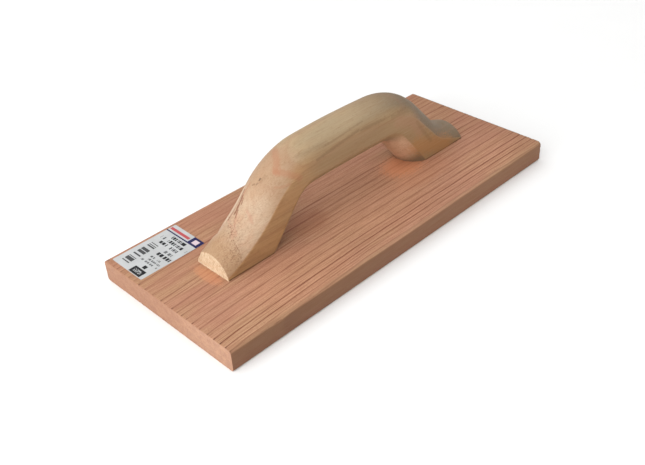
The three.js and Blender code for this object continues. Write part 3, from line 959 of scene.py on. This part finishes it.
def round_over(depth, segments):
    """An arc across the handle's width that bulges by a depth: (distance across, drop from its top)."""
    half = HANDLE.width / 2
    radius = (half * half + depth * depth) / (2 * depth)
    reach = math.asin(half / radius)
    if depth > half:
        reach = math.pi - reach
    shares = np.linspace(-1, 1, segments + 1)
    edge = HANDLE_ARRIS / (radius * reach)
    shares = np.concatenate([[-1, -1 + edge], shares[1:-1], [1 - edge, 1]])
    angles = reach * shares
    return np.stack([radius * np.sin(angles), radius - radius * np.cos(angles)], 1)


def ring_points(back, soffit, depth):
    """One section of the handle: a rounded back, two flat sides and a rounded soffit."""
    up = unit(back - soffit)
    over_back = [(*(back - up * drop), across) for across, drop in round_over(depth, BACK_STEPS)]
    hollow = round_over(HANDLE.soffit_round, SOFFIT_STEPS)
    over_soffit = [(*(soffit + up * drop), -across) for across, drop in hollow]
    sides = []
    for start, end in ((over_back[-1], over_soffit[0]), (over_soffit[-1], over_back[0])):
        start, end = np.array(start), np.array(end)
        edge = HANDLE_ARRIS / np.linalg.norm(end - start)
        shares = [edge, *np.linspace(0, 1, SIDE_STEPS)[1:-1], 1 - edge]
        sides.append([tuple(start * (1 - s) + end * s) for s in shares])
    loop = np.array([*over_back, *sides[0], *over_soffit, *sides[1]])
    marks = (0, len(over_back) - 1, len(over_back) + len(sides[0]))
    marks += (marks[2] + len(over_soffit) - 1,)
    softened = loop.copy()
    for i in marks:
        softened[i] = (loop[i - 1] + 2 * loop[i] + loop[(i + 1) % len(loop)]) / 4
    return softened[:, [0, 2, 1]]


# Flats that were sanded by hand: (a point on the flat, the direction it faces, start and end along X).
FLATS = (
    ((-84, 11.2, 44.9), (-0.53, 0.66, 0.53), (-101, -72)),
    ((-106, 14.9, 23), (-0.30, 0.86, 0.42), (-118, -98)),
)
MOST_SANDED, FLAT_FADE = 1.2, 6  # how deep the sanding goes, and how gently a flat ends along X
# Small dents and torn grain: (centre, radius, depth).
DENTS = (
    ((-67.6, 1.6, 62.9), 1.3, 0.25), ((-70.3, 3.4, 60.6), 1, 0.2), ((-77, 9.2, 51.4), 1.2, 0.3),
    ((-79.5, 8.6, 49.6), 1.1, 0.3), ((-81.5, 8.2, 48.2), 1.2, 0.35),
    ((-84.5, 6.8, 45.8), 1.3, 0.35), ((-88, 5.4, 43.4), 1.1, 0.3), ((-99.5, -3.4, 35), 0.9, 0.2),
    ((-101.8, -8.3, 31), 0.9, 0.2), ((-103.4, -12.2, 26.2), 0.8, 0.15),
)


def sand_flats(points):
    for at, facing, (start, end) in FLATS:
        facing = unit(np.array(facing))
        proud = (points - at) @ facing
        fade = np.clip(np.minimum(points[:, 0] - start, end - points[:, 0]) / FLAT_FADE, 0, 1)
        fade = fade * fade * (3 - 2 * fade)
        points = points - np.outer(np.clip(proud, 0, MOST_SANDED) * fade, facing)
    return points


def press_dents(points, normals):
    for centre, radius, depth in DENTS:
        far = np.linalg.norm(points - centre, axis=1) / radius
        points = points - normals * (depth * np.exp(-(far**2) * 1.5))[:, None]
    return points


def hand_shaping(points, normals):
    """The slight unevenness of wood that was shaped by eye."""
    swell = np.array([wobble(x / 42, y / 30, z / 42) for x, y, z in points])
    ripple = np.array([wobble(x / 9 + 40, y / 12, z / 9) for x, y, z in points])
    facing_side = np.abs(normals[:, 1]) > 0.995
    amount = np.where(facing_side, 0.03, 0.22) * swell + np.where(facing_side, 0.02, 0.05) * ripple
    return points + normals * (np.minimum(amount, 0) - 0.02)[:, None]


def ring_normals(points, size):
    """Outward directions at the points of a skin over rings."""
    grid = points.reshape(-1, size, 3)
    around = np.roll(grid, -1, 1) - np.roll(grid, 1, 1)
    along = np.gradient(grid, axis=0)
    normals = np.cross(around, along)
    normals /= np.maximum(np.linalg.norm(normals, axis=2, keepdims=True), 1e-9)
    outwards = grid - grid.mean(axis=1, keepdims=True)
    if (normals * outwards).sum() < 0:
        normals = -normals
    return normals.reshape(-1, 3)


def handle_skin():
    """The handle before its toes and feet are cut, in the frame's own place."""
    crown, under = corner(0, HANDLE.grip_top, HANDLE.grip_radius), corner(0, HANDLE.grip_under)
    back = rounded_line([*leg_back(LEFT_LEG)[::-1], crown, *leg_back(RIGHT_LEG)])
    soffit = rounded_line([*leg_inside(LEFT_LEG)[::-1], under, *leg_inside(RIGHT_LEG)])
    depths = spline(ROUNDINGS, len(back))
    rings = [ring_points(*parts) for parts in zip(back, soffit, depths)]
    size = len(rings[0])
    points = np.concatenate(rings) + (HANDLE_MIDDLE[0], HANDLE_MIDDLE[1], BLADE_TOP)
    normals = ring_normals(points, size)
    points = hand_shaping(points, normals)
    points = press_dents(sand_flats(points), normals)
    return points, tube_faces(len(rings), size)


def cut_at(work, place, facing):
    """Cuts a mesh by a plane, throws away what is in front of it and closes the cut."""
    everything = [*work.verts, *work.edges, *work.faces]
    cut = bmesh.ops.bisect_plane(
        work, geom=everything, plane_co=Vector(place) * MM, plane_no=facing, clear_outer=True, dist=1e-7
    )
    edges = [e for e in cut["geom_cut"] if isinstance(e, bmesh.types.BMEdge)]
    bmesh.ops.contextual_create(work, geom=edges)


def soften_toe(work, toe_x, outwards):
    """Rounds the arris of a toe: extra loops near it are drawn in along the surface's normals."""
    for back_off in (0.06, 0.15, 0.28, 0.42, TOE_SOFTNESS):
        everything = [*work.verts, *work.edges, *work.faces]
        place = Vector((toe_x - outwards * back_off, 0, 0)) * MM
        bmesh.ops.bisect_plane(work, geom=everything, plane_co=place, plane_no=(1, 0, 0), dist=1e-7)
    work.normal_update()
    moves = []
    for vertex in work.verts:
        from_toe = (toe_x - vertex.co.x / MM) * outwards
        if -0.001 < from_toe < TOE_SOFTNESS and vertex.co.z > BLADE_TOP * MM + 1e-6:
            sides = [f.normal for f in vertex.link_faces if abs(f.normal.x) < 0.95]
            if sides:
                facing = sum(sides, Vector()).normalized()
                facing.x = 0
                moves.append((vertex, facing.normalized() * end_inset(from_toe, TOE_SOFTNESS) * MM))
    for vertex, move in moves:
        vertex.co -= move


def make_handle(material):
    points, faces = handle_skin()
    piece = make_piece("pine_handle", points, faces, material, sharp=35)
    stand_for(piece, "handle")
    work = bmesh.new()
    work.from_mesh(piece.data)
    reach, middle = HANDLE.toe_reach, HANDLE_MIDDLE[0]
    cut_at(work, (0, 0, BLADE_TOP), (0, 0, -1))
    for outwards in (-1, 1):
        cut_at(work, (middle + outwards * reach, 0, 0), (outwards, 0, 0))
        soften_toe(work, middle + outwards * reach, outwards)
    work.to_mesh(piece.data)
    work.free()
    depth = SCREW.recess + SCREW.length + SCREW.clearance
    radius = SCREW.shank_radius + SCREW.clearance
    profile = [(radius, 0), (radius, depth)]
    holes = [((*screw_place(name)[:2], 0), profile) for name in SCREWS]
    carve(piece, cutter("pilot_holes", holes))
    smooth(piece.data, 35)


# ---- label

LABEL_THICKNESS = 0.1
LABEL_SPACING = 1.4  # between the points of its mesh
LABEL_CORNER = 0.8  # radius


def edge_lines(length):
    """Places along a side of the label, closer together near its ends."""
    near = [0, 0.06, 0.18, 0.36, 0.58, 0.8, 1.5]
    middle = np.linspace(near[-1], length - near[-1], int(length / LABEL_SPACING))[1:-1]
    return np.array([*near, *middle, *(length - d for d in reversed(near))])


def rounded_corner(along, over, length, width):
    """A point of the label drawn in to its rounded corners."""
    radius = LABEL_CORNER
    cx, cy = min(max(along, radius), length - radius), min(max(over, radius), width - radius)
    dx, dy = along - cx, over - cy
    far = math.hypot(dx, dy)
    most = max(abs(dx), abs(dy))
    return (cx + dx * most / far, cy + dy * most / far) if far > 0 else (along, over)


def label_lift(along, over, length, width):
    """How far the paper stands off the wood: nearly nothing, and a little more at two corners."""
    lift = 0.012 + 0.01 * wobble(along / 8, over / 8, 3.3)
    for corner_at, size in (((length, width), 0.07), ((0, width), 0.05)):
        far = math.hypot(along - corner_at[0], over - corner_at[1])
        lift += size * math.exp(-((far / 4) ** 2))
    return lift


def make_label(material):
    length, width = LABEL_HIGH[0] - LABEL_LOW[0], LABEL_HIGH[1] - LABEL_LOW[1]
    us, vs = edge_lines(length), edge_lines(width)
    vertices = []
    for level in (0, LABEL_THICKNESS):
        for u in us:
            for v in vs:
                along, over = rounded_corner(u, v, length, width)
                height = BLADE_TOP + label_lift(along, over, length, width) + level
                vertices.append((LABEL_LOW[0] + along, LABEL_LOW[1] + over, height))
    rows, columns = len(us), len(vs)
    layer = rows * columns
    faces = []
    for i in range(rows - 1):
        for j in range(columns - 1):
            a = i * columns + j
            quad = (a, a + columns, a + columns + 1, a + 1)
            faces.append(tuple(k + layer for k in quad))
            faces.append(quad[::-1])
    rim = [i * columns for i in range(rows)] + [(rows - 1) * columns + j for j in range(1, columns)]
    rim += [i * columns + columns - 1 for i in range(rows - 2, -1, -1)] + list(range(columns - 2, 0, -1))
    for a, b in zip(rim, rim[1:] + rim[:1]):
        faces.append((a, b, b + layer, a + layer))
    piece = make_piece("paper_label", vertices, faces, material, sharp=40)
    stand_for(piece, "label")


# ---- screws

SCREW_SEGMENTS, ROWS_PER_TURN = 36, 12
TIP_RADIUS = 0.12


def screw_place(name):
    """The bottom of a screw's hole, on the working face, under the middle of the CAD screw."""
    low, high = node_box(name)
    return ((low[0] + high[0]) / 2, (low[1] + high[1]) / 2, 0)


def hole_profile():
    """A counterbore, a countersink and a clearance hole, from below the blade to above it."""
    head = SCREW.head_radius + SCREW.clearance
    shank = SCREW.shank_radius + SCREW.clearance
    recess = SCREW.recess
    return [(head, -2), (head, recess), (shank, recess + SCREW.head_cone), (shank, BLADE_TOP + 2)]


def screw_profile():
    """(radius, height) rows of a screw that stands on its head."""
    head, shank, cone = SCREW.head_radius, SCREW.shank_radius, SCREW.head_cone
    rows = [(head - 0.25, 0), (head - 0.08, 0.05), (head, 0.2), (head, 0.45)]
    rows += [(shank + 0.25, cone - 0.2), (shank + 0.05, cone + 0.1)]
    rows += [(shank, cone + 0.5), (shank, SCREW.shank_length - 0.4)]
    threads = SCREW.length - SCREW.tip - SCREW.shank_length
    steps = int(threads / SCREW.pitch * ROWS_PER_TURN)
    rows += [(shank, SCREW.shank_length + threads * i / steps) for i in range(steps + 1)]
    for s in (0.2, 0.4, 0.6, 0.8, 1):
        rows.append((shank * (1 - s) + TIP_RADIUS * s, SCREW.length - SCREW.tip * (1 - s)))
    return rows


def thread_cut(height, turn):
    """How deep the thread is cut at a height and a share of a turn."""
    phase = (height / SCREW.pitch - turn) % 1
    valley = min(1, max(0, 1.6 * (1 - abs(2 * phase - 1)) - 0.15))
    start = min(1, max(0, (height - SCREW.shank_length) / SCREW.pitch))
    to_tip = min(1, max(0, (SCREW.length - height) / SCREW.tip))
    return SCREW.thread_depth * valley * start * to_tip


def recess_bar(angle, depth):
    """A tapered bar that cuts one stroke of the cross into a screw's head, from below it to a depth."""
    points = [
        (x * width, y * breadth, z)
        for (width, breadth), z in ((RECESS.mouth, -RECESS.below), (RECESS.floor, depth))
        for x, y in ((-1, -1), (1, -1), (1, 1), (-1, 1))
    ]
    sides = [(i, (i + 1) % 4, (i + 1) % 4 + 4, i + 4) for i in range(4)]
    turn = Matrix.Rotation(angle, 3, "Z")
    mesh = bpy.data.meshes.new("recess_bar")
    mesh.from_pydata([turn @ Vector(p) * MM for p in points], [], [(0, 3, 2, 1), (4, 5, 6, 7), *sides])
    return link("recess_bar", mesh)


def make_screw(name, turned, material):
    points, faces = lathe(screw_profile(), SCREW_SEGMENTS)
    for i, (x, y, z) in enumerate(points):
        if z > SCREW.shank_length:
            radius = math.hypot(x, y)
            turn = (i % SCREW_SEGMENTS) / SCREW_SEGMENTS
            scale = max(1 - thread_cut(z, turn) / max(radius, 0.2), 0.3)
            points[i] = (x * scale, y * scale, z)
    piece = make_piece("zinc_" + name, points, faces, material, sharp=35)
    for angle, depth in zip((0, math.pi / 2), RECESS.depths):
        carve(piece, recess_bar(angle, depth))
    x, y, _ = screw_place(name)
    place = Matrix.Translation(Vector((x, y, SCREW.recess)) * MM)
    piece.data.transform(place @ Matrix.Rotation(turned, 4, "Z"))
    smooth(piece.data, 35)
    stand_for(piece, name)


# ---- stage

CAMERA = Named(turns=(-42.83, 35.75, -3.57), distance=612.97, aside=(-12.50, -12.28))
LENS, SENSOR = 48.31, 36
CLIP = (0.01, 200)  # metres


def make_camera():
    a, e, r = (math.radians(turn) for turn in CAMERA.turns)  # azimuth, elevation and roll
    back = Vector((math.sin(a) * math.cos(e), -math.cos(a) * math.cos(e), math.sin(e)))
    right = Vector((math.cos(a), math.sin(a), 0))
    up = back.cross(right)
    right, up = math.cos(r) * right + math.sin(r) * up, math.cos(r) * up - math.sin(r) * right
    aside, above = CAMERA.aside
    place = (back * CAMERA.distance + right * aside + up * above) * MM
    data = bpy.data.cameras.new("camera")
    data.lens, data.sensor_width, data.sensor_fit = LENS, SENSOR, "HORIZONTAL"
    data.clip_start, data.clip_end = CLIP
    camera = link("camera", data)
    turn = Matrix((right, up, back)).transposed().to_4x4()
    camera.matrix_world = Matrix.Translation(place) @ turn
    bpy.context.scene.camera = camera


FLOOR_SHADES = ([0.86, 0.86, 0.855, 1], [0.88, 0.88, 0.875, 1])
FLOOR_HALF, FLOOR_DROP = 60, 0.00005  # metres


def make_floor():
    look = Look("pale_floor")
    tooth = look.noise((0.02, 0.02, 0.02), 3)
    color = look.mix(tooth, *FLOOR_SHADES)
    material = look.finish(Base_Color=color, Roughness=0.9, Specular_IOR_Level=0.1)
    mesh = bpy.data.meshes.new("floor")
    corners = [(x * FLOOR_HALF, y * FLOOR_HALF, 0) for x, y in ((-1, -1), (1, -1), (1, 1), (-1, 1))]
    mesh.from_pydata(corners, [], [(0, 1, 2, 3)])
    mesh.materials.append(material)
    floor = link("floor", mesh)
    floor.location.z = -FLOOR_DROP


# Soft square lights: (direction in degrees from X, height in degrees, width in metres, power in watts).
LIGHTS = {
    "left": (180, 35, 1, 6.9),
    "left_front": (220, 32, 0.9, 4.8),
    "low_left": (180, 12, 0.5, 5.2),
    "back": (90, 45, 0.9, 3.2),
    "right": (0, 40, 0.9, 2.2),
}
LIGHT_DISTANCE = 1.25  # metres from the float
AMBIENT = 0.5
SKY = Named(strength=0.57, wide=110)  # the light from above, which is the same everywhere


def make_lights():
    for name, (around, height, wide, power) in LIGHTS.items():
        turn, rise = math.radians(around), math.radians(height)
        level = math.cos(rise)
        come_from = Vector((math.cos(turn) * level, math.sin(turn) * level, math.sin(rise)))
        data = bpy.data.lights.new(name, "AREA")
        data.energy, data.size = power, wide
        light = link(name, data)
        light.location = come_from * LIGHT_DISTANCE
        light.rotation_euler = come_from.to_track_quat("Z", "Y").to_euler()
        light.visible_camera = False
    data = bpy.data.lights.new("sky", "SUN")
    data.energy, data.angle = SKY.strength, math.radians(SKY.wide)
    link("sky", data)
    world = bpy.data.worlds.new("studio")
    world.use_nodes = True
    background = world.node_tree.nodes["Background"].inputs
    background["Color"].default_value = (1, 1, 1, 1)
    background["Strength"].default_value = AMBIENT
    bpy.context.scene.world = world


# ---- all of it

make_camera()
make_lights()
make_floor()
make_blade(redwood())
make_handle(pine())
make_label(paper())
plated = zinc_plate()
for screw_name, screw_turn in SCREWS.items():
    make_screw(screw_name, screw_turn, plated)

bpy.context.scene.view_settings.view_transform = "Standard"
bpy.context.scene.view_settings.look = "None"
